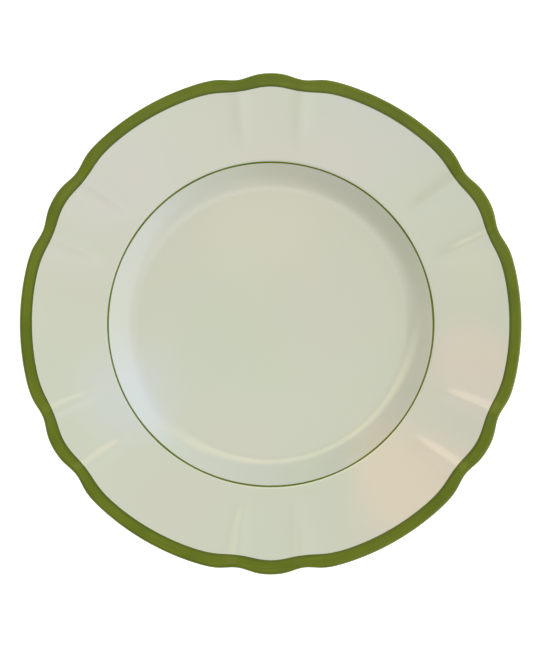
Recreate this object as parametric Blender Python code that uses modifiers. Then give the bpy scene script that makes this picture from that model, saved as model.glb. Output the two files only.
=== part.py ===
"""A scalloped china dinner plate with a green edge band and a green verge line.

The plate is a turned section, swept round +Z and then shaped by the scallop rule:
six small lobes, each with a notch on either side, break the round edge, and a ridge
runs inward from every notch. Its five pieces are the layers that a pottery builds
up: the fired porcelain body with its foot ring, the glaze over the front and back,
the glaze inside the foot ring, and two painted bands of green enamel. Layers that
lie on each other keep LAYER_GAP between their meshes.

Metres, +Z up. The plate stands on its foot ring at z = 0, centred on the Z axis,
with one lobe towards +Y.
"""

import math

import bpy
import numpy as np

# ---------------------------------------------------------------- driving sizes
PLATE_RADIUS = 0.1325  # to the outside of the painted lip
FLOOR_HEIGHT = 0.0070  # glazed floor of the well above the table
FLOOR_RADIUS = 0.0704  # flat part of the well

CURB_RADIUS = 0.0100  # the well turns up sharply at first, to CURB_ANGLE
CURB_ANGLE = math.radians(18.0)
COVE_RADIUS = 0.0300  # then more gently, to WALL_ANGLE
WALL_ANGLE = math.radians(33.0)
SHOULDER_START = 0.0851  # the wall rounds over here, through SHOULDER_RADIUS
SHOULDER_RADIUS = 0.0076
VERGE_RADIUS = 0.08615  # middle of the thin line painted on the shoulder
VERGE_WIDTH = 0.00098
RIM_START_ANGLE = math.radians(6.9)
RIM_END_ANGLE = math.radians(11.0)
BAND_FRONT_RADIUS = 0.12565  # inner edge of the wide band on the front
BAND_BACK_RADIUS = 0.1284  # and on the back

FOOT_OUTER_RADIUS = 0.0727  # edges of the flat face that the plate stands on
FOOT_INNER_RADIUS = 0.0701
FOOT_ROUNDING = 0.0006
FOOT_GLAZE_STOP = 0.0012  # the glaze is wiped off the foot below this height

BODY_THICKNESS = 0.0033  # in the well and the wall
LIP_RADIUS = 0.00075  # half the body's thickness at its edge
LAYER_GAP = 0.0003
LAYER_THICKNESS = 0.0003

# The scallops. Angles are from the middle of a lobe.
LOBES = 6
NOTCH_ANGLE = math.radians(7.74)
NOTCH_DEPTH = 0.0026
NOTCH_WIDTH = math.radians(3.77)
NOTCH_SPREAD = math.radians(0.26) / 0.001  # the notch widens inward by this per metre
NOTCH_WIDEST = math.radians(5.3)
NOTCH_END_RADIUS = 0.096  # inside this the plate is round
CREST_SPREAD = math.radians(0.02) / 0.001  # the ridges splay inward by this per metre
CREST_HEIGHT = 0.0009
CREST_END_RADIUS = 0.0930
CREST_FULL_RADIUS = 0.1120
CREST_RISE_POWER = 0.6
CREST_LOBE_WIDTH = math.radians(1.8)  # on the side of the lobe
CREST_ARC_WIDTH = math.radians(2.1)  # on the side of the long arc
LOBE_CURL = 0.0004  # how far a lobe turns up at the edge
LOBE_CURL_WIDTH = math.radians(9.0)
LOBE_CURL_START = 0.106
LOBE_CURL_END = 0.126

# Stations round the plate, in the half sector from the middle of a lobe to the
# middle of the arc beside it. They crowd together round the notch.
HALF_SECTOR = math.pi / LOBES
STATIONS_PER_HALF = 9
NOTCH_STATION = 3
CROWDING_WIDTH = math.radians(4.5)
STATIONS = 2 * LOBES * STATIONS_PER_HALF

CURB_STEPS = 2
COVE_STEPS = 2
SHOULDER_STEPS = 1
RIM_STEPS = 2
LIP_STEPS = 2  # above and below the widest point each

MERGE_DISTANCE = 0.00001
SMOOTH_ANGLE = math.radians(35.0)

GLAZE_INSIDE = LAYER_GAP
GLAZE_OUTSIDE = LAYER_GAP + LAYER_THICKNESS
ENAMEL_INSIDE = GLAZE_OUTSIDE + LAYER_GAP
ENAMEL_OUTSIDE = ENAMEL_INSIDE + LAYER_THICKNESS


# ------------------------------------------------------------- the turned section
def straight(start, angle, radius):
    """The point at this radius, along a straight line at an angle above level."""
    return (radius, start[1] + (radius - start[0]) * math.tan(angle))


def bend(start, bend_radius, angle_in, angle_out, steps):
    """Points of a rounded bend after start; the section turns between two angles."""
    turn = 1.0 if angle_out > angle_in else -1.0
    centre_r = start[0] - turn * bend_radius * math.sin(angle_in)
    centre_z = start[1] + turn * bend_radius * math.cos(angle_in)
    points = []
    for step in range(1, steps + 1):
        angle = angle_in + (angle_out - angle_in) * step / steps
        r = centre_r + turn * bend_radius * math.sin(angle)
        z = centre_z - turn * bend_radius * math.cos(angle)
        points.append((r, z))
    return points


def front_section():
    """The body's front, from the centre of the well to where the lip begins."""
    floor = FLOOR_HEIGHT - GLAZE_OUTSIDE
    centre = (0.0, floor)
    floor_edge = (FLOOR_RADIUS, floor)
    curb = bend(floor_edge, CURB_RADIUS, 0.0, CURB_ANGLE, CURB_STEPS)
    cove = bend(curb[-1], COVE_RADIUS, CURB_ANGLE, WALL_ANGLE, COVE_STEPS)
    wall_top = straight(cove[-1], WALL_ANGLE, SHOULDER_START)
    shoulder = bend(
        wall_top, SHOULDER_RADIUS, WALL_ANGLE, RIM_START_ANGLE, SHOULDER_STEPS
    )
    lip_start = PLATE_RADIUS - ENAMEL_OUTSIDE / math.cos(math.pi / 4 / LIP_STEPS)
    lip_start -= LIP_RADIUS * (1.0 + math.sin(RIM_END_ANGLE))
    turn_per_metre = (RIM_END_ANGLE - RIM_START_ANGLE) / (lip_start - shoulder[-1][0])
    stops = list(np.linspace(shoulder[-1][0], BAND_FRONT_RADIUS, RIM_STEPS + 1)[1:])
    rim = []
    last = shoulder[-1]
    for radius in stops + [lip_start]:
        middle = (radius + last[0]) / 2 - shoulder[-1][0]
        last = straight(last, RIM_START_ANGLE + middle * turn_per_metre, radius)
        rim.append(last)
    return [centre, floor_edge, *curb, *cove, wall_top, *shoulder, *rim]


def lip_section(start):
    """The rounded edge, from the end of the front round to the back."""
    upper = bend(start, LIP_RADIUS, RIM_END_ANGLE, -math.pi / 2, LIP_STEPS)
    back = RIM_END_ANGLE - math.pi
    lower = bend(upper[-1], LIP_RADIUS, -math.pi / 2, back, LIP_STEPS)
    return upper + lower


def front_height(front, radius):
    """Height of the body's front at a radius."""
    return float(np.interp(radius, [p[0] for p in front], [p[1] for p in front]))


def back_section(front, lip_end):
    """The body's back, from the lip to the foot ring's outer side."""
    shoulder = front[-(RIM_STEPS + 2)]
    shoulder_back_r = shoulder[0] + BODY_THICKNESS * math.sin(WALL_ANGLE) / 2
    shoulder_back = (shoulder_back_r, shoulder[1] - BODY_THICKNESS)
    band_edge = (
        BAND_BACK_RADIUS,
        lip_end[1] - (lip_end[0] - BAND_BACK_RADIUS) * math.tan(RIM_END_ANGLE) * 1.2,
    )
    middle_r = (BAND_BACK_RADIUS + shoulder_back[0]) / 2
    middle_thickness = (2 * LIP_RADIUS + BODY_THICKNESS) / 2
    middle = (middle_r, front_height(front, middle_r) - middle_thickness)
    wall_drop = BODY_THICKNESS / math.cos(WALL_ANGLE)
    wall_r = FOOT_OUTER_RADIUS + 0.0045
    wall = (wall_r, front_height(front, wall_r) - wall_drop)
    foot_top = (FOOT_OUTER_RADIUS + FOOT_ROUNDING + 0.0008, wall[1] - 0.0022)
    return [band_edge, middle, shoulder_back, wall, foot_top]


def foot_section():
    """The foot ring's outer side, flat face and inner side, to the centre below."""
    outer = FOOT_OUTER_RADIUS + FOOT_ROUNDING
    inner = FOOT_INNER_RADIUS - FOOT_ROUNDING
    underside = FLOOR_HEIGHT - GLAZE_OUTSIDE - BODY_THICKNESS
    return [
        (outer + 0.0002, FOOT_GLAZE_STOP),
        (outer, FOOT_ROUNDING),
        (FOOT_OUTER_RADIUS, 0.0),
        (FOOT_INNER_RADIUS, 0.0),
        (inner, FOOT_ROUNDING),
        (inner - 0.0002, FOOT_GLAZE_STOP),
        (inner - 0.0018, underside),
        (0.0, underside),
    ]


def offset(section, distance):
    """The section moved outward by a distance, its corners kept mitred."""
    points = np.array(section)
    along = np.diff(points, axis=0)
    along /= np.linalg.norm(along, axis=1)[:, None]
    normals = np.column_stack([-along[:, 1], along[:, 0]])
    moved = []
    for i, point in enumerate(points):
        before = normals[max(i - 1, 0)]
        after = normals[min(i, len(normals) - 1)]
        mitre = (before + after) / (1.0 + float(before @ after))
        shifted = point + mitre * distance
        if point[0] == 0.0:
            shifted[0] = 0.0
        moved.append((float(shifted[0]), float(shifted[1])))
    return moved


def layer(section, inside, outside):
    """Outline of a coat on a stretch of section: its outside, then back inside."""
    return offset(section, outside) + offset(section, inside)[::-1]


# ------------------------------------------------------------------ the scallops
def from_lobe(angle):
    """Angle from the middle of the nearest lobe."""
    return np.mod(angle - math.pi / 2 + HALF_SECTOR, 2 * HALF_SECTOR) - HALF_SECTOR


def towards_lobe(angle, notch):
    """Angle from each near notch towards the middle of its own lobe."""
    sector = 2 * HALF_SECTOR
    lobe = from_lobe(angle)
    return [notch - lobe, notch + lobe, notch - sector + lobe, notch - sector - lobe]


def smooth_part(value, low, high):
    """0 below low and 1 above high, with a smooth rise between them."""
    part = np.clip((value - low) / (high - low), 0.0, 1.0)
    return part * part * (3 - 2 * part)


def scallop(radius, angle):
    """How far the edge is drawn inward."""
    inward = PLATE_RADIUS - radius
    fade = np.clip(1.0 - inward / (PLATE_RADIUS - NOTCH_END_RADIUS), 0.0, 1.0)
    width = np.clip(NOTCH_WIDTH + NOTCH_SPREAD * inward, NOTCH_WIDTH, NOTCH_WIDEST)
    dips = sum(np.exp(-((gap / width) ** 2)) for gap in towards_lobe(angle, NOTCH_ANGLE))
    return NOTCH_DEPTH * fade * dips


def relief(radius, angle):
    """Height of the radial ridges at the notches, and of the lobes' curled edges."""
    splay = CREST_SPREAD * np.clip(PLATE_RADIUS - radius, 0.0, None)
    crests = 0.0
    for gap in towards_lobe(angle, NOTCH_ANGLE + splay):
        width = np.where(gap > 0, CREST_LOBE_WIDTH, CREST_ARC_WIDTH)
        crests += np.exp(-((gap / width) ** 2))
    part = smooth_part(radius, CREST_END_RADIUS, CREST_FULL_RADIUS)
    rise = CREST_HEIGHT * part**CREST_RISE_POWER
    curl = LOBE_CURL * smooth_part(radius, LOBE_CURL_START, LOBE_CURL_END)
    return rise * crests + curl * np.exp(-((from_lobe(angle) / LOBE_CURL_WIDTH) ** 2))


def station_angles():
    """The angle of every station, crowded so that one falls on each notch."""
    fraction = NOTCH_STATION / STATIONS_PER_HALF
    weight = (fraction * HALF_SECTOR - NOTCH_ANGLE) / (0.5 - fraction)
    fine = np.linspace(-HALF_SECTOR, HALF_SECTOR, 2001)
    pull = sum(
        np.exp(-(((fine - side * NOTCH_ANGLE) / CROWDING_WIDTH) ** 2))
        for side in (1, -1)
    )
    density = 1.0 + weight * pull / (CROWDING_WIDTH * math.sqrt(math.pi))
    total = np.concatenate([[0.0], np.cumsum((density[1:] + density[:-1]) / 2)])
    count = 2 * STATIONS_PER_HALF
    sector = np.interp(np.arange(count) / count, total / total[-1], fine)
    starts = np.arange(LOBES) * 2 * HALF_SECTOR + math.pi / 2
    return np.concatenate([sector + start for start in starts])


# ------------------------------------------------------------------- the pieces
def material(name, colour, roughness, coat=0.0):
    """A Principled material of one colour."""
    made = bpy.data.materials.new(name)
    made.use_nodes = True
    shader = made.node_tree.nodes["Principled BSDF"]
    shader.inputs["Base Color"].default_value = (*colour, 1.0)
    shader.inputs["Roughness"].default_value = roughness
    shader.inputs["Metallic"].default_value = 0.0
    shader.inputs["Coat Weight"].default_value = coat
    made.diffuse_color = (*colour, 1.0)
    return made


def turned(name, outline, closed, collection, surface):
    """Sweeps an outline round the Z axis, then gives it the plate's scallops."""
    profile = bpy.data.meshes.new(name)
    count = len(outline)
    edges = [(i, i + 1) for i in range(count - 1)]
    if closed:
        edges.append((count - 1, 0))
    profile.from_pydata([(r, 0.0, z) for r, z in outline], edges, [])
    piece = bpy.data.objects.new(name, profile)
    collection.objects.link(piece)

    screw = piece.modifiers.new("Screw", "SCREW")
    screw.steps = STATIONS
    screw.render_steps = STATIONS
    screw.use_merge_vertices = True
    screw.merge_threshold = MERGE_DISTANCE
    bpy.context.view_layer.update()
    evaluated = piece.evaluated_get(bpy.context.evaluated_depsgraph_get())
    swept = bpy.data.meshes.new_from_object(evaluated)
    piece.modifiers.remove(screw)
    piece.data = swept
    swept.name = name
    bpy.data.meshes.remove(profile)

    shape_scallops(swept)
    swept.materials.append(surface)
    swept.shade_smooth()
    swept.set_sharp_from_angle(angle=SMOOTH_ANGLE)
    return piece


def shape_scallops(mesh):
    """Moves every vertex to its own station, then in by the notch and up the ridge."""
    places = np.empty(len(mesh.vertices) * 3)
    mesh.vertices.foreach_get("co", places)
    places = places.reshape(-1, 3)
    radius = np.hypot(places[:, 0], places[:, 1])
    turn = np.arctan2(places[:, 1], places[:, 0]) / (2 * math.pi)
    station = np.rint(turn * STATIONS).astype(int) % STATIONS
    angle = station_angles()[station]
    reach = radius - scallop(radius, angle)
    places[:, 2] += relief(radius, angle)
    places[:, 0] = reach * np.cos(angle)
    places[:, 1] = reach * np.sin(angle)
    mesh.vertices.foreach_set("co", places.ravel())
    mesh.update()


def build():
    for old in list(bpy.data.objects):
        bpy.data.objects.remove(old, do_unlink=True)
    plate = bpy.data.collections.new("dinner_plate")
    bpy.context.scene.collection.children.link(plate)

    bisque = material("bisque", (0.72, 0.70, 0.62), 0.55)
    glaze = material("lustre_glaze", (0.66, 0.67, 0.57), 0.12, coat=1.0)
    enamel = material("green_enamel", (0.12, 0.19, 0.02), 0.2, coat=1.0)

    front = front_section()
    lip = lip_section(front[-1])
    back = back_section(front, lip[-1])
    foot = foot_section()
    over = front + lip + back
    body = over + foot
    glazed = over + foot[:1]
    under = foot[-3:]
    band = [front[-2], front[-1], *lip, back[0]]
    wall_top, shoulder = front[2 + CURB_STEPS + COVE_STEPS :][:2]
    slope = math.atan2(shoulder[1] - wall_top[1], shoulder[0] - wall_top[0])
    verge = [
        straight(wall_top, slope, VERGE_RADIUS + side * VERGE_WIDTH / 2)
        for side in (-1, 1)
    ]

    turned("porcelain_body", body, False, plate, bisque)
    turned("glaze_coat", layer(glazed, GLAZE_INSIDE, GLAZE_OUTSIDE), False, plate, glaze)
    recess = offset(under, GLAZE_INSIDE)[::-1] + offset(under, GLAZE_OUTSIDE)
    turned("underside_glaze", recess, False, plate, glaze)
    turned("rim_band", layer(band, ENAMEL_INSIDE, ENAMEL_OUTSIDE), True, plate, enamel)
    turned("verge_line", layer(verge, ENAMEL_INSIDE, ENAMEL_OUTSIDE), True, plate, enamel)


build()
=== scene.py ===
"""The look of a scalloped china dinner plate with a pearly lustre glaze.

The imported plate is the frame. Each of its coats is replaced by a fine mesh of the
same layer, laid on one smooth turned surface that the scallop rule then shapes, and
given a procedural material: lustre glaze, hand-painted enamel, bare biscuit.
"""

import math

import bmesh
import bpy
import numpy as np
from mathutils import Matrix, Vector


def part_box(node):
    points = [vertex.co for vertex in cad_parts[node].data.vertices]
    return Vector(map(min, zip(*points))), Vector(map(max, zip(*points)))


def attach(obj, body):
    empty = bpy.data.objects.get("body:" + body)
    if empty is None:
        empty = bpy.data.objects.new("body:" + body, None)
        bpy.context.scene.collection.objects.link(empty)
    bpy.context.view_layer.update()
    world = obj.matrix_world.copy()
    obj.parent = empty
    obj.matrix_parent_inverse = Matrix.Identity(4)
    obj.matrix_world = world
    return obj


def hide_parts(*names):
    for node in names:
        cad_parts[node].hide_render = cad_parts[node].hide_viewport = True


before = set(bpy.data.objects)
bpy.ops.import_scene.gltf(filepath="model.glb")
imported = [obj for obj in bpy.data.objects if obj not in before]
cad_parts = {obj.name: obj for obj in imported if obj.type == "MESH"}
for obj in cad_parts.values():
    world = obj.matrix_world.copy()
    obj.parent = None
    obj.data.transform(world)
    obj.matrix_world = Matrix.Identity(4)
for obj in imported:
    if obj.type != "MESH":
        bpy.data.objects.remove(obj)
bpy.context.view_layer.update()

MM = 0.001
DEG = math.pi / 180

# ------------------------------------------------------- sizes taken from the frame
BAND_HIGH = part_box("rim_band")[1]
PLATE_RADIUS = BAND_HIGH.x - 0.02 * MM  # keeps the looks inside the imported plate
RIM_TOP = BAND_HIGH.z - 0.03 * MM
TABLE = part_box("porcelain_body")[0].z

# ------------------------------------------------------------ the turned section
FLOOR_HEIGHT = 7.0 * MM
FLOOR_RADIUS = 70.4 * MM
CURB_RADIUS = 10 * MM
CURB_ANGLE = 18 * DEG
COVE_RADIUS = 30 * MM
WALL_ANGLE = 33 * DEG
THICKNESS = 3.9 * MM
VERGE_RADIUS = 86.15 * MM
VERGE_WIDTH = 0.98 * MM
SHOULDER_START = 85.1 * MM
SHOULDER_RADIUS = 7.6 * MM
RIM_START_ANGLE = 6.9 * DEG
RIM_END_ANGLE = 9.4 * DEG
CURL_START = 124.6 * MM
CURL_RADIUS = 14 * MM
CURL_ANGLE = 11.5 * DEG
LIP_RADIUS = 1.75 * MM
BACK_RIM_ANGLE = 10.1 * DEG
BACK_SHOULDER_RADIUS = 8 * MM
BACK_COVE_ANGLE = 20 * DEG
FOOT_SIDE = 6 * DEG  # lean of the foot ring's sides from upright
FOOT_FILLET = 1.8 * MM
FOOT_ROUNDING = 0.6 * MM
FOOT_GLAZE_STOP = 1.2 * MM
FOOT_OUTER_RADIUS = 72.7 * MM
FOOT_INNER_RADIUS = 70.1 * MM
RECESS_HEIGHT = 2.5 * MM
RECESS_RADIUS = 69.0 * MM

# ------------------------------------------------------------------ the scallops
LOBES = 6
HALF_SECTOR = math.pi / LOBES
NOTCH_ANGLE = 7.74 * DEG
NOTCH_DEPTH = 2.6 * MM
NOTCH_WIDTH = 3.77 * DEG
NOTCH_SPREAD = 0.26 * DEG / MM
NOTCH_WIDEST = 5.3 * DEG
NOTCH_END_RADIUS = 96 * MM
CREST_SPREAD = 0.02 * DEG / MM
CREST_HEIGHT = 0.9 * MM
CREST_END_RADIUS = 93 * MM
CREST_FULL_RADIUS = 112 * MM
CREST_RISE_POWER = 0.6
CREST_LOBE_WIDTH = 1.8 * DEG  # on the side of the lobe
CREST_ARC_WIDTH = 2.1 * DEG  # on the side of the long arc
LOBE_CURL = 0.4 * MM  # how far a lobe turns up at the edge
LOBE_CURL_WIDTH = 9 * DEG
LOBE_CURL_START = 106 * MM
LOBE_CURL_END = 126 * MM

STATIONS_PER_HALF = 42
CROWDING = 5.0  # how much closer together the stations are at a notch
CROWDING_WIDTH = 3 * DEG

GLAZE_THICKNESS = 0.3 * MM
BISCUIT_DEPTH = 0.45 * MM  # biscuit under the glaze's outside
ENAMEL_THICKNESS = 0.10 * MM
ENAMEL_LIFT = 0.01 * MM
ENAMEL_EDGE = 0.02 * MM  # thickness of the band where it ends
BAND_FRONT_RADIUS = 125.65 * MM
BAND_BACK_WRAP = 2.6 * MM  # how far the band comes in under the lip
VERGE_CROWN = 0.06 * MM


class Section:
    """A path in the plane of radius and height that turns as it goes."""

    def __init__(self, radius, height, heading):
        self.points = [(radius, height)]
        self.heading = heading

    def line(self, radius, step):
        """Straight on to a radius."""
        r, z = self.points[-1]
        count = max(1, math.ceil(abs(radius - r) / step))
        slope = math.tan(self.heading)
        for i in range(1, count + 1):
            x = r + (radius - r) * i / count
            self.points.append((x, z + (x - r) * slope))
        return self

    def drop(self, height, step):
        """Straight on to a height."""
        r, z = self.points[-1]
        count = max(1, math.ceil(abs(height - z) / step))
        slope = 1 / math.tan(self.heading)
        for i in range(1, count + 1):
            y = z + (height - z) * i / count
            self.points.append((r + (y - z) * slope, y))
        return self

    def bend(self, bend_radius, heading, step):
        """Round a bend to a new heading."""
        r, z = self.points[-1]
        start = self.heading
        turn = 1 if heading > start else -1
        count = max(1, math.ceil(abs(heading - start) / step))
        for i in range(1, count + 1):
            angle = start + (heading - start) * i / count
            self.points.append(
                (
                    r + turn * bend_radius * (math.sin(angle) - math.sin(start)),
                    z - turn * bend_radius * (math.cos(angle) - math.cos(start)),
                )
            )
        self.heading = heading
        return self


def glaze_section():
    """The outside of the glaze, from the centre of the well round to the foot."""
    path = Section(0.0, FLOOR_HEIGHT, 0.0)
    path.line(FLOOR_RADIUS - 6 * MM, 12 * MM).line(FLOOR_RADIUS, 1.5 * MM)
    path.bend(CURB_RADIUS, CURB_ANGLE, 1.5 * DEG)
    path.bend(COVE_RADIUS, WALL_ANGLE, 1.5 * DEG)
    wall_foot = path.points[-1]
    path.line(SHOULDER_START, 1.5 * MM)
    path.bend(SHOULDER_RADIUS, RIM_START_ANGLE, 2 * DEG)
    rim_turn = math.sin(RIM_END_ANGLE) - math.sin(RIM_START_ANGLE)
    path.bend((CURL_START - path.points[-1][0]) / rim_turn, RIM_END_ANGLE, 0.09 * DEG)
    path.bend(CURL_RADIUS, CURL_ANGLE, 0.75 * DEG)
    widest = PLATE_RADIUS - ENAMEL_THICKNESS - ENAMEL_LIFT
    path.line(widest - LIP_RADIUS * (1 + math.sin(CURL_ANGLE)), 0.7 * MM)
    path.bend(LIP_RADIUS, BACK_RIM_ANGLE - math.pi, 6 * DEG)

    # The back's wall runs parallel to the front's; the rim's back meets it.
    wall_r = wall_foot[0] + THICKNESS * math.sin(WALL_ANGLE)
    wall_z = wall_foot[1] - THICKNESS * math.cos(WALL_ANGLE)
    wall_slope, rim_slope = math.tan(WALL_ANGLE), math.tan(BACK_RIM_ANGLE)
    edge_r, edge_z = path.points[-1]
    gap = edge_z - wall_z - (edge_r - wall_r) * rim_slope
    meet = wall_r + gap / (wall_slope - rim_slope)
    tangent = BACK_SHOULDER_RADIUS * math.tan((WALL_ANGLE - BACK_RIM_ANGLE) / 2)
    path.line(meet + tangent * math.cos(BACK_RIM_ANGLE), 1.6 * MM)
    path.bend(BACK_SHOULDER_RADIUS, WALL_ANGLE - math.pi, 3 * DEG)
    path.line(wall_r, 2 * MM)
    path.bend(COVE_RADIUS + THICKNESS, BACK_COVE_ANGLE - math.pi, 2 * DEG)
    side = -math.pi / 2 - FOOT_SIDE
    fillet = FOOT_FILLET * (math.sin(side) - math.sin(path.heading))
    foot_r = FOOT_OUTER_RADIUS + GLAZE_THICKNESS * 4
    path.line(foot_r - fillet, 1 * MM)
    path.bend(FOOT_FILLET, side, 5 * DEG)
    path.drop(FOOT_GLAZE_STOP, 0.6 * MM)
    return path.points


def recess_section():
    """The outside of the glaze within the foot ring, from the foot to the centre."""
    path = Section(RECESS_RADIUS, FOOT_GLAZE_STOP, math.pi / 2 + FOOT_SIDE)
    path.bend(RECESS_HEIGHT - FOOT_GLAZE_STOP, math.pi, 8 * DEG)
    r = path.points[-1][0]
    path.points = [(x, z + RECESS_HEIGHT - path.points[-1][1]) for x, z in path.points]
    path.points += [(r * (1 - i / 6), RECESS_HEIGHT) for i in range(1, 7)]
    return path.points


def foot_section(outer, inner):
    """The bare end of the foot ring, between the two glazes."""
    points = [outer]
    for i in range(7):
        angle = -i / 6 * math.pi / 2
        points.append(
            (
                FOOT_OUTER_RADIUS + FOOT_ROUNDING * math.cos(angle),
                TABLE + FOOT_ROUNDING * (1 + math.sin(angle)),
            )
        )
    for i in range(7):
        angle = -math.pi / 2 - i / 6 * math.pi / 2
        points.append(
            (
                FOOT_INNER_RADIUS + FOOT_ROUNDING * math.cos(angle),
                TABLE + FOOT_ROUNDING * (1 + math.sin(angle)),
            )
        )
    return points + [inner]


def offset(section, distance):
    """A section moved outward by a distance."""
    points = np.array(section)
    along = np.gradient(points, axis=0)
    along /= np.linalg.norm(along, axis=1)[:, None]
    normals = np.column_stack([-along[:, 1], along[:, 0]])
    moved = points + normals * np.asarray(distance).reshape(-1, 1)
    moved[points[:, 0] == 0.0, 0] = 0.0
    return moved


# -------------------------------------------------------------------- scallop rule
def from_lobe(angle):
    """Angle from the middle of the nearest lobe."""
    return np.mod(angle - math.pi / 2 + HALF_SECTOR, 2 * HALF_SECTOR) - HALF_SECTOR


def towards_lobe(angle, notch):
    """Angle from each near notch towards the middle of its own lobe."""
    sector = 2 * HALF_SECTOR
    lobe = from_lobe(angle)
    return [notch - lobe, notch + lobe, notch - sector + lobe, notch - sector - lobe]


def smooth_part(value, low, high):
    """0 below low and 1 above high, with a smooth rise between them."""
    part = np.clip((value - low) / (high - low), 0.0, 1.0)
    return part * part * (3 - 2 * part)


def scallop(radius, angle):
    """How far the edge is drawn inward."""
    inward = PLATE_RADIUS - radius
    fade = np.clip(1.0 - inward / (PLATE_RADIUS - NOTCH_END_RADIUS), 0.0, 1.0)
    width = np.clip(NOTCH_WIDTH + NOTCH_SPREAD * inward, NOTCH_WIDTH, NOTCH_WIDEST)
    dips = sum(np.exp(-((gap / width) ** 2)) for gap in towards_lobe(angle, NOTCH_ANGLE))
    return NOTCH_DEPTH * fade * dips


def relief(radius, angle):
    """Height of the radial ridges at the notches, and of the lobes' curled edges."""
    splay = CREST_SPREAD * np.clip(PLATE_RADIUS - radius, 0.0, None)
    crests = 0.0
    for gap in towards_lobe(angle, NOTCH_ANGLE + splay):
        width = np.where(gap > 0, CREST_LOBE_WIDTH, CREST_ARC_WIDTH)
        crests += np.exp(-((gap / width) ** 2))
    curl = LOBE_CURL * smooth_part(radius, LOBE_CURL_START, LOBE_CURL_END)
    part = smooth_part(radius, CREST_END_RADIUS, CREST_FULL_RADIUS)
    rise = CREST_HEIGHT * part**CREST_RISE_POWER
    return rise * crests + curl * np.exp(-((from_lobe(angle) / LOBE_CURL_WIDTH) ** 2))


def station_angles():
    """Angles round the plate, closer together where the edge bends fastest."""
    fine = np.linspace(-HALF_SECTOR, HALF_SECTOR, 4001)
    density = np.ones_like(fine)
    for side in (1, -1):
        density += CROWDING * np.exp(-(((fine - side * NOTCH_ANGLE) / CROWDING_WIDTH) ** 2))
    total = np.concatenate([[0.0], np.cumsum((density[1:] + density[:-1]) / 2)])
    count = 2 * STATIONS_PER_HALF
    sector = np.interp(np.arange(count) / count, total / total[-1], fine)
    starts = np.arange(LOBES) * 2 * HALF_SECTOR + math.pi / 2
    return np.concatenate([sector + start for start in starts])


ANGLES = station_angles()


def swept(name, rings, closed):
    """A mesh from rings of (radius, height), one row for each station round the plate.

    rings has the shape (stations, points, 2). An outline that isn't closed starts
    and ends on the axis."""
    stations, count, _ = rings.shape
    radius, height = rings[..., 0], rings[..., 1]
    angle = np.broadcast_to(ANGLES[:, None], radius.shape)
    reach = radius - scallop(radius, angle)
    lifted = height + relief(radius, angle)
    places = np.stack([reach * np.cos(angle), reach * np.sin(angle), lifted], axis=-1)
    index = np.arange(stations * count).reshape(stations, count)
    if not closed:
        index[:, 0] = index[0, 0]
        index[:, -1] = index[0, -1]
    following = np.roll(index, -1, axis=0)
    last = count if closed else count - 1
    faces = []
    for i in range(last):
        j = (i + 1) % count
        quads = np.column_stack([index[:, i], index[:, j], following[:, j], following[:, i]])
        if not closed and i == 0:
            quads = quads[:, [0, 1, 2]]
        elif not closed and j == count - 1:
            quads = quads[:, [0, 1, 3]]
        faces.extend(quads.tolist())
    mesh = bpy.data.meshes.new(name)
    mesh.from_pydata(places.reshape(-1, 3).tolist(), [], faces)
    piece = bpy.data.objects.new(name, mesh)
    bpy.context.scene.collection.objects.link(piece)
    drop_loose(mesh)
    mesh.shade_smooth()
    return piece


def drop_loose(mesh):
    """Removes the spare copies of a point on the axis."""
    work = bmesh.new()
    work.from_mesh(mesh)
    spare = [v for v in work.verts if not v.link_faces]
    bmesh.ops.delete(work, geom=spare, context="VERTS")
    work.to_mesh(mesh)
    work.free()


def same_all_round(section):
    """One section, repeated at every station."""
    return np.broadcast_to(np.array(section), (len(ANGLES), len(section), 2))


def thin(points, every):
    """A coarser copy of a hidden surface's points, with both ends kept."""
    points = np.array(points)
    keep = sorted(set(range(0, len(points), every)) | {len(points) - 1})
    return points[keep]


# ------------------------------------------------------------------- the coats
GLAZE = np.array(glaze_section())
RECESS = np.array(recess_section())


def make_glaze():
    inner = thin(offset(GLAZE, -GLAZE_THICKNESS), 3)[::-1]
    return swept("lustre_glaze", same_all_round(np.vstack([GLAZE, inner])), False)


def make_recess_glaze():
    inner = offset(RECESS, -GLAZE_THICKNESS)[::-1]
    return swept("recess_glaze", same_all_round(np.vstack([inner, RECESS])), False)


def make_biscuit():
    top = offset(GLAZE, -BISCUIT_DEPTH)
    under = offset(RECESS, -BISCUIT_DEPTH)
    foot = foot_section(tuple(top[-1]), tuple(under[0]))
    outline = np.vstack([thin(top, 2)[:-1], foot, under[1:]])
    return swept("biscuit", same_all_round(outline), False)


LENGTHS = np.concatenate([[0.0], np.cumsum(np.linalg.norm(np.diff(GLAZE, axis=0), axis=1))])
FRONT_COUNT = int(np.argmax(GLAZE[:, 0])) + 1


def along_front(radius):
    """Distance along the section to a radius on the front."""
    return np.interp(radius, GLAZE[:FRONT_COUNT, 0], LENGTHS[:FRONT_COUNT])


def painted(name, start, end, shares, heights):
    """A coat of enamel between two distances along the section at every station."""
    where = start[:, None] + (end - start)[:, None] * np.asarray(shares)[None, :]
    along = np.gradient(GLAZE, axis=0)
    along /= np.linalg.norm(along, axis=1)[:, None]
    place = [np.interp(where, LENGTHS, GLAZE[:, k]) for k in (0, 1)]
    normal = [np.interp(where, LENGTHS, n) for n in (-along[:, 1], along[:, 0])]
    size = np.hypot(*normal)
    top = [p + n / size * heights for p, n in zip(place, normal)]
    under = [p + n / size * ENAMEL_LIFT for p, n in zip(place, normal)]
    outside = np.stack(top, axis=-1)
    inside = np.stack(under, axis=-1)[:, ::-1]
    piece = swept(name, np.concatenate([outside, inside], axis=1), True)
    across = piece.data.attributes.new("across", "FLOAT", "POINT")
    both = np.concatenate([shares, shares[::-1]])
    across.data.foreach_set("value", np.tile(both, len(ANGLES)).astype(np.float32))
    return piece


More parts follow.
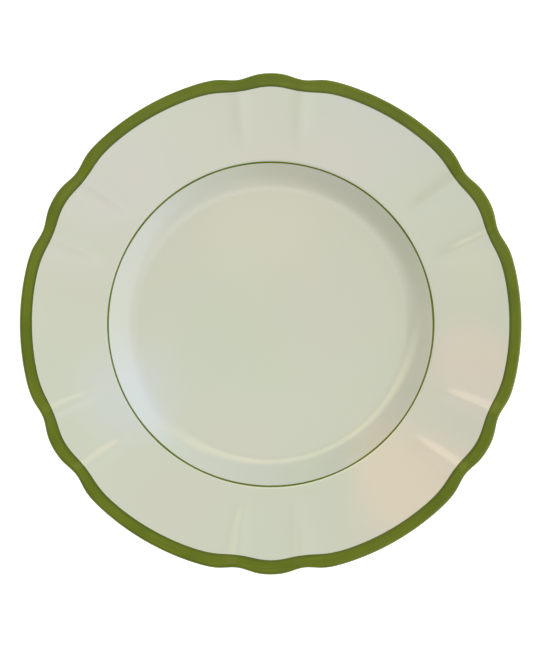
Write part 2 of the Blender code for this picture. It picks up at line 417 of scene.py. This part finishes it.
def wander(angle, parts):
    """A slow wander round the plate: (turns, size, phase in degrees) for each part."""
    return sum(size * np.cos(turns * angle - phase * DEG) for turns, size, phase in parts)


def make_band():
    slip = wander(ANGLES, [(1, 0.21 * MM, 112), (2, 0.26 * MM, -13), (5, 0.07 * MM, 20)])
    start = along_front(BAND_FRONT_RADIUS + slip)
    lip_end = LENGTHS[FRONT_COUNT - 1] + LIP_RADIUS * math.pi / 2
    back = BAND_BACK_WRAP + wander(ANGLES, [(2, 0.25 * MM, 40), (7, 0.12 * MM, 110)])
    shares = np.concatenate([[0, 0.01, 0.03, 0.06], np.linspace(0.1, 0.9, 28), [0.95, 0.98, 1]])
    rise = np.clip(np.minimum(shares, 1 - shares) / 0.06, 0, 1)
    heights = ENAMEL_LIFT + ENAMEL_EDGE + (ENAMEL_THICKNESS - ENAMEL_EDGE) * np.sqrt(rise)
    return painted("green_band", start, lip_end + back, shares, heights)


def make_verge():
    slip = wander(ANGLES, [(1, 0.24 * MM, -83), (2, 0.18 * MM, 6)])
    middle = along_front(VERGE_RADIUS + slip)
    half = VERGE_WIDTH / 2 * (1 + wander(ANGLES, [(3, 0.06, 30), (8, 0.05, 0), (13, 0.05, 90)]))
    shares = np.array([0, 0.06, 0.16, 0.33, 0.5, 0.67, 0.84, 0.94, 1])
    heights = ENAMEL_LIFT + VERGE_CROWN * np.sqrt(1 - (2 * shares - 1) ** 2) + 0.008 * MM
    return painted("green_verge_line", middle - half, middle + half, shares, heights)


# ------------------------------------------------------------------- materials
class Nodes:
    """Short calls for making nodes in a tree."""

    def __init__(self, tree):
        self.tree = tree

    def add(self, kind, **settings):
        node = self.tree.nodes.new(kind)
        for key, value in settings.items():
            setattr(node, key, value)
        return node

    def feed(self, target, value):
        """Links an output to an input, or sets the input to a value."""
        if isinstance(value, bpy.types.NodeSocket):
            self.tree.links.new(value, target)
        else:
            target.default_value = value

    def math(self, operation, *values):
        node = self.add("ShaderNodeMath", operation=operation)
        for socket, value in zip(node.inputs, values):
            self.feed(socket, value)
        return node.outputs[0]

    def distance(self, x, y):
        """The length of the diagonal of two numbers."""
        squares = [self.math("MULTIPLY", part, part) for part in (x, y)]
        return self.math("SQRT", self.math("ADD", *squares))

    def mix(self, share, first, second):
        node = self.add("ShaderNodeMix", data_type="RGBA")
        self.feed(node.inputs[0], share)
        self.feed(node.inputs[6], first)
        self.feed(node.inputs[7], second)
        return node.outputs[2]

    def span(self, value, low, high, to_low=0.0, to_high=1.0):
        node = self.add("ShaderNodeMapRange", interpolation_type="SMOOTHSTEP")
        self.feed(node.inputs["Value"], value)
        for key, number in (
            ("From Min", low),
            ("From Max", high),
            ("To Min", to_low),
            ("To Max", to_high),
        ):
            self.feed(node.inputs[key], number)
        return node.outputs[0]

    def place(self):
        return self.add("ShaderNodeTexCoord").outputs["Object"]

    def noise(self, vector, scale, detail=2.0, rough=0.5, w=0.0):
        node = self.add("ShaderNodeTexNoise", noise_dimensions="4D")
        self.feed(node.inputs["Vector"], vector)
        node.inputs["Scale"].default_value = scale
        node.inputs["Detail"].default_value = detail
        node.inputs["Roughness"].default_value = rough
        node.inputs["W"].default_value = w
        return node.outputs[0]

    def round_and_across(self, vector, round_scale, across_scale):
        """Coordinates for brush marks: slow round the plate and fast across."""
        split = self.add("ShaderNodeSeparateXYZ")
        self.feed(split.inputs[0], vector)
        x, y, z = split.outputs
        radius = self.distance(x, y)
        join = self.add("ShaderNodeCombineXYZ")
        for k, part in enumerate((x, y)):
            share = self.math("DIVIDE", part, radius)
            self.feed(join.inputs[k], self.math("MULTIPLY", share, round_scale))
        outward = self.math("ADD", radius, z)
        self.feed(join.inputs[2], self.math("MULTIPLY", outward, across_scale))
        return join.outputs[0]

    def bump(self, height, distance, strength=1.0):
        node = self.add("ShaderNodeBump")
        node.inputs["Strength"].default_value = strength
        node.inputs["Distance"].default_value = distance
        self.feed(node.inputs["Height"], height)
        return node.outputs[0]


class Surface(Nodes):
    """A material with one Principled shader, and the nodes that feed it."""

    def __init__(self, name):
        self.material = bpy.data.materials.new(name)
        self.material.use_nodes = True
        super().__init__(self.material.node_tree)
        self.shader = self.tree.nodes["Principled BSDF"]

    def set(self, **values):
        for key, value in values.items():
            self.feed(self.shader.inputs[key.replace("_", " ")], value)


def colour(r, g, b):
    """An sRGB colour, 0 to 255, as the shader's linear one."""
    linear = []
    for part in (r, g, b):
        c = part / 255
        linear.append(c / 12.92 if c <= 0.04045 else ((c + 0.055) / 1.055) ** 2.4)
    return (*linear, 1.0)


# Where the lustre runs to another tint, and spots of painted reflection and painted highlight:
# azimuth in degrees, radius, reach, tint, share.
TINTS_AND_PAINTED_REFLECTIONS = [
    (95, 56 * MM, 50 * MM, (208, 206, 180), 0.5),  # straw, far side of the well
    (205, 84 * MM, 40 * MM, (206, 208, 206), 0.6),  # cool white painted highlight, left of the wall
    (135, 112 * MM, 42 * MM, (204, 201, 190), 0.6),  # lavender, left of the top
    (65, 112 * MM, 42 * MM, (205, 200, 188), 0.6),  # and right of it
    (15, 112 * MM, 22 * MM, (206, 205, 172), 0.6),  # straw
    (348, 110 * MM, 36 * MM, (222, 204, 184), 0.55),  # rose, painted warm reflection
    (311, 110 * MM, 44 * MM, (226, 208, 178), 0.65),  # peach, painted warm reflection
    (285, 80 * MM, 16 * MM, (200, 208, 176), 0.4),  # leaf, near side of the wall
]


def tint_and_reflection_mask(n, place, azimuth, radius, reach):
    """A mask that fades out from a spot on the plate, with an uneven edge."""
    spot = (radius * math.cos(azimuth * DEG), radius * math.sin(azimuth * DEG), 0.01)
    away = n.add("ShaderNodeVectorMath", operation="DISTANCE")
    n.feed(away.inputs[0], place)
    away.inputs[1].default_value = spot
    uneven = n.noise(place, 26.0, detail=2.0, w=azimuth * 0.1)
    ragged = n.math("MULTIPLY_ADD", uneven, 0.7 * reach, away.outputs["Value"])
    return n.span(ragged, 0.6 * reach, 1.35 * reach, 1.0, 0.0)


def lustre_glaze():
    n = Surface("lustre_glaze")
    place = n.place()
    slow = n.noise(place, 9.0, detail=2.0, w=1.7)
    tint = n.mix(n.span(slow, 0.35, 0.65), colour(200, 202, 180), colour(202, 201, 181))
    # Lustre tints, with the list's painted reflections and painted highlight, laid over the
    # glaze's colour
    for azimuth, radius, reach, spot_colour, share in TINTS_AND_PAINTED_REFLECTIONS:
        mask = n.math("MULTIPLY", tint_and_reflection_mask(n, place, azimuth, radius, reach), share)
        tint = n.mix(mask, tint, colour(*spot_colour))
    n.set(Base_Color=tint)
    speck = n.noise(place, 900.0, detail=1.0)
    n.set(Roughness=n.span(speck, 0.3, 0.7, 0.015, 0.035))
    n.set(IOR=1.85, Thin_Film_IOR=1.89)
    film = n.noise(place, 7.0, detail=1.5, w=3.3)
    n.set(Thin_Film_Thickness=n.span(film, 0.3, 0.7, 300.0, 400.0))
    peel = n.noise(place, 120.0, detail=1.0)
    n.set(Normal=n.bump(peel, 0.00002, 0.4))
    return n.material


def plain_glaze():
    n = Surface("plain_glaze")
    place = n.place()
    slow = n.noise(place, 14.0, detail=3.0)
    n.set(Base_Color=n.mix(n.span(slow, 0.3, 0.7), colour(203, 203, 188), colour(207, 206, 193)))
    n.set(Roughness=n.span(n.noise(place, 500.0), 0.3, 0.7, 0.06, 0.1), IOR=1.52)
    n.set(Normal=n.bump(n.noise(place, 160.0, detail=1.0), 0.00003, 0.6))
    return n.material


def biscuit_surface():
    n = Surface("biscuit")
    place = n.place()
    grain = n.noise(place, 1800.0, detail=3.0, rough=0.6)
    worn = n.noise(place, 60.0, detail=3.0, w=2.0)
    clean = n.mix(n.span(grain, 0.3, 0.7), colour(196, 189, 174), colour(214, 209, 197))
    n.set(Base_Color=n.mix(n.span(worn, 0.5, 0.75, 0.0, 0.55), clean, colour(168, 157, 138)))
    n.set(Roughness=n.span(grain, 0.3, 0.7, 0.6, 0.8), Normal=n.bump(grain, 0.00006, 0.5))
    return n.material


def enamel_surface():
    n = Surface("green_enamel")
    place = n.place()
    brush = n.noise(n.round_and_across(place, 0.55, 140.0), 6.0, detail=3.0, rough=0.6)
    pooled = n.noise(place, 42.0, detail=2.0, w=4.0)
    body = n.mix(n.span(brush, 0.3, 0.7), colour(88, 101, 3), colour(97, 111, 10))
    rich = n.mix(n.span(pooled, 0.45, 0.7), body, colour(80, 98, 1))
    across_band = n.add("ShaderNodeAttribute", attribute_name="across").outputs["Fac"]
    thick_edge = n.span(across_band, 0.02, 0.16, 0.75, 0.0)
    n.set(Base_Color=n.mix(thick_edge, rich, colour(58, 78, 8)))
    n.set(Roughness=n.span(brush, 0.3, 0.7, 0.08, 0.16), IOR=1.46)
    n.set(Specular_Tint=(1.0, 1.0, 0.55, 1.0))
    n.set(Normal=n.bump(brush, 0.00003, 0.5))
    return n.material


def floor_surface():
    n = Surface("studio_floor")
    place = n.place()
    shade = n.noise(place, 3.0)
    n.set(Base_Color=n.mix(n.span(shade, 0.3, 0.7), (0.93, 0.93, 0.93, 1), (0.95, 0.95, 0.95, 1)))
    n.set(Roughness=0.8, Emission_Color=(1.0, 1.0, 1.0, 1.0), Emission_Strength=0.5)
    return n.material


def finish_piece(piece, surface, slot, *nodes):
    piece.data.materials.append(surface)
    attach(piece, "root")
    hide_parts(*nodes)


glaze_material = lustre_glaze()
enamel = enamel_surface()
finish_piece(make_glaze(), glaze_material, "lustre_glaze", "glaze_coat")
finish_piece(make_recess_glaze(), plain_glaze(), "lustre_glaze", "underside_glaze")
finish_piece(make_biscuit(), biscuit_surface(), "bisque", "porcelain_body")
finish_piece(make_band(), enamel, "green_enamel", "rim_band")
finish_piece(make_verge(), enamel, "green_enamel", "verge_line")


# ------------------------------------------------------------- studio and camera
FLOOR_HALF = 4.0
FLOOR_CLEARANCE = 0.1 * MM

WINDOW_AZIMUTH = 20 * DEG  # from +X towards +Y
ROOM_LIGHT = (0.60, 0.57, 0.56, 1.0)  # radiance of the room away from the window
WINDOW_LIGHT = (0.84, 0.96, 1.12, 1.0)  # and towards it

# Azimuth from +X towards +Y, angle from straight up, half width round the azimuth,
# half height and softness of the edge, all in degrees; then tint and strength.
SOFT_LIGHTS = [
    (0, 60, 45, 22, 14, (0.82, 0.86, 1.0), 1.7),  # large softbox on the right
    (0, 0, 30, 30, 20, (0.96, 1.0, 0.88), 1.0),  # ceiling panel
    (110, 28, 40, 8, 8, (1.0, 0.9, 0.7), 1.9),  # warm softbox behind
    (265, 18, 35, 14, 12, (0.98, 0.98, 1.0), 1.3),  # fill in front
    (240, 62, 36, 20, 16, (0.9, 0.95, 1.0), 0.3),  # dark flag, front left
]

CAMERA_HEIGHT = 1.1  # above the rim: far enough to flatten the perspective
CAMERA_PLACE = (-0.37 * MM, -0.1 * MM, RIM_TOP - 2.5 * MM + CAMERA_HEIGHT)
FRAME_HEIGHT = 341.7 * MM
SENSOR_WIDTH = 36.0


def floor():
    mesh = bpy.data.meshes.new("floor")
    half = FLOOR_HALF
    corners = [(-half, -half, 0), (half, -half, 0), (half, half, 0), (-half, half, 0)]
    mesh.from_pydata(corners, [], [(0, 1, 2, 3)])
    made = bpy.data.objects.new("floor", mesh)
    made.location.z = TABLE - FLOOR_CLEARANCE
    mesh.materials.append(floor_surface())
    bpy.context.scene.collection.objects.link(made)


def along(n, direction, axis):
    """How far a direction goes along an axis."""
    node = n.add("ShaderNodeVectorMath", operation="DOT_PRODUCT")
    n.feed(node.inputs[0], direction)
    node.inputs[1].default_value = axis
    return node.outputs["Value"]


def patch(n, direction, azimuth, zenith, half_wide, half_high, soft):
    """A mask, 1 inside an oval patch of the sky and 0 outside."""
    a, t = azimuth * DEG, zenith * DEG
    middle = (math.cos(a) * math.sin(t), math.sin(a) * math.sin(t), math.cos(t))
    sideways = (-math.sin(a), math.cos(a), 0.0)
    upward = (-math.cos(a) * math.cos(t), -math.sin(a) * math.cos(t), math.sin(t))
    u = n.math("DIVIDE", along(n, direction, sideways), math.sin(half_wide * DEG))
    v = n.math("DIVIDE", along(n, direction, upward), math.sin(half_high * DEG))
    far = n.distance(u, v)
    edge = soft / min(half_wide, half_high)
    inside = n.span(far, 1 - edge / 2, 1 + edge / 2, 1.0, 0.0)
    ahead = n.math("GREATER_THAN", along(n, direction, middle), 0.0)
    return n.math("MULTIPLY", inside, ahead)


def studio():
    """Even light from all round, with three softboxes, a ceiling panel and a flag."""
    world = bpy.data.worlds.new("studio")
    world.use_nodes = True
    bpy.context.scene.world = world
    n = Nodes(world.node_tree)
    direction = n.add("ShaderNodeTexCoord").outputs["Generated"]
    towards = (math.cos(WINDOW_AZIMUTH), math.sin(WINDOW_AZIMUTH), 0)
    share = n.span(along(n, direction, towards), -0.8, 0.8)
    light = n.mix(share, ROOM_LIGHT, WINDOW_LIGHT)
    for *shape, tint, strength in SOFT_LIGHTS:
        glow = tuple(strength * part for part in tint) + (1.0,)
        light = n.mix(patch(n, direction, *shape), light, glow)
    n.feed(n.tree.nodes["Background"].inputs["Color"], light)
    settings = bpy.context.scene.view_settings
    settings.view_transform = "Standard"
    settings.look = "None"


def camera():
    """Straight down on the plate."""
    data = bpy.data.cameras.new("camera")
    made = bpy.data.objects.new("camera", data)
    data.sensor_fit = "AUTO"
    data.sensor_width = SENSOR_WIDTH
    data.lens = SENSOR_WIDTH * CAMERA_HEIGHT / FRAME_HEIGHT
    data.clip_start = 0.05
    made.location = CAMERA_PLACE
    bpy.context.scene.collection.objects.link(made)
    bpy.context.scene.camera = made


floor()
studio()
camera()
